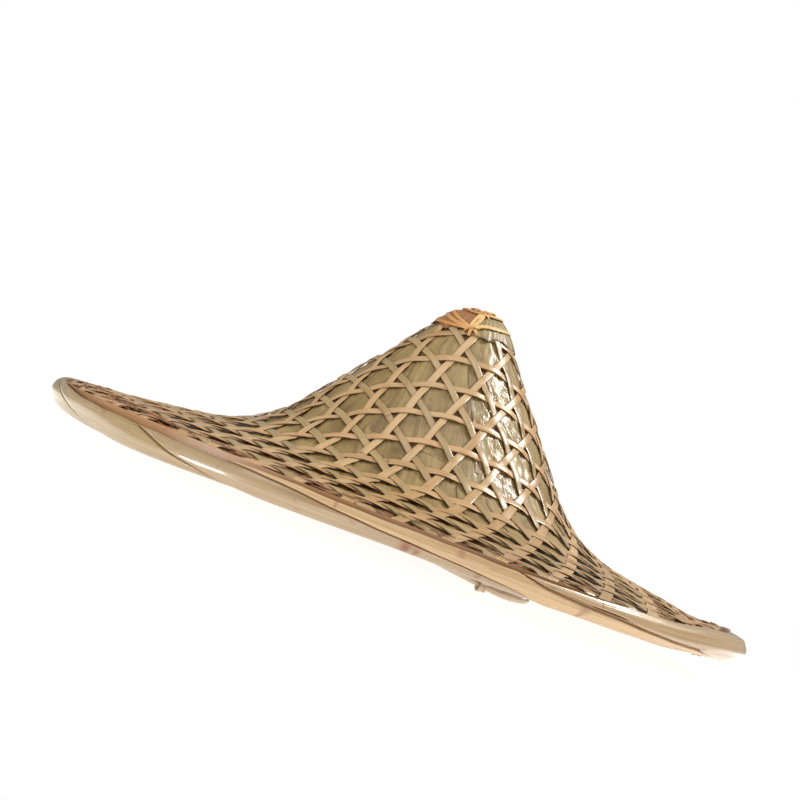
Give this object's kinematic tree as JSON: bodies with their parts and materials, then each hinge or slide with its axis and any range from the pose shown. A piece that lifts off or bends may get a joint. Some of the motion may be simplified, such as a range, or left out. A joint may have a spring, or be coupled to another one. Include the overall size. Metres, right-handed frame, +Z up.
{
  "type": "conical hat",
  "caption": "Wide conical rain hat of two open hexagonal bamboo weaves with leaves between them, a wrapped bamboo rim, a bound tip and a head ring hung inside the crown.",
  "frame": {"origin": "centre of the base: on the hat's axis, level with its lowest point, the low side of the head ring", "axes": "+Z up along the hat's axis to the tip, -Y the front, +X to the right seen from the front; the rim is level"},
  "size_m": [0.44, 0.44, 0.152],
  "materials": {
    "bamboo_strip": "satin split bamboo",
    "dry_leaf": "dried bamboo leaf, satin with a sheen",
    "rim_bamboo": "smooth outer skin of bamboo, semi-gloss",
    "hoop_bamboo": "split bamboo, matt",
    "ring_bamboo": "smooth split bamboo, satin",
    "rattan": "yellow rattan strip, satin",
    "brown_split": "smoked bamboo split, satin"
  },
  "bodies": {
    "root": {"brim_leaf_01": "dry_leaf", "brim_leaf_02": "dry_leaf", "brim_leaf_03": "dry_leaf", "brim_leaf_04": "dry_leaf", "brim_leaf_05": "dry_leaf", "brim_leaf_06": "dry_leaf", "brim_leaf_07": "dry_leaf", "brim_leaf_08": "dry_leaf", "brim_leaf_09": "dry_leaf", "brim_leaf_10": "dry_leaf", "brim_leaf_11": "dry_leaf", "brim_leaf_12": "dry_leaf", "crown_leaf_01": "dry_leaf", "crown_leaf_02": "dry_leaf", "crown_leaf_03": "dry_leaf", "crown_leaf_04": "dry_leaf", "crown_leaf_05": "dry_leaf", "crown_leaf_06": "dry_leaf", "crown_leaf_07": "dry_leaf", "crown_leaf_08": "dry_leaf", "head_ring_inner": "ring_bamboo", "head_ring_outer": "ring_bamboo", "head_straps": "rattan", "inner_strips_1": "bamboo_strip", "inner_strips_2": "bamboo_strip", "inner_strips_3": "bamboo_strip", "inner_strips_4": "bamboo_strip", "outer_strips_1": "bamboo_strip", "outer_strips_2": "bamboo_strip", "outer_strips_3": "bamboo_strip", "outer_strips_4": "bamboo_strip", "rim_hoop_inner": "hoop_bamboo", "rim_hoop_outer": "hoop_bamboo", "rim_rod": "hoop_bamboo", "rim_split_1": "rim_bamboo", "rim_split_2": "rim_bamboo", "rim_split_3": "rim_bamboo", "rim_split_4": "rim_bamboo", "rim_split_5": "rim_bamboo", "rim_split_6": "rim_bamboo", "rim_ties": "rattan", "shoulder_leaf_01": "dry_leaf", "shoulder_leaf_02": "dry_leaf", "shoulder_leaf_03": "dry_leaf", "shoulder_leaf_04": "dry_leaf", "shoulder_leaf_05": "dry_leaf", "shoulder_leaf_06": "dry_leaf", "shoulder_leaf_07": "dry_leaf", "shoulder_leaf_08": "dry_leaf", "shoulder_leaf_09": "dry_leaf", "shoulder_leaf_10": "dry_leaf", "tip_binding": "rattan", "tip_wrap_1": "brown_split", "tip_wrap_2": "brown_split", "tip_wrap_3": "brown_split"}
  },
  "joints": []
}
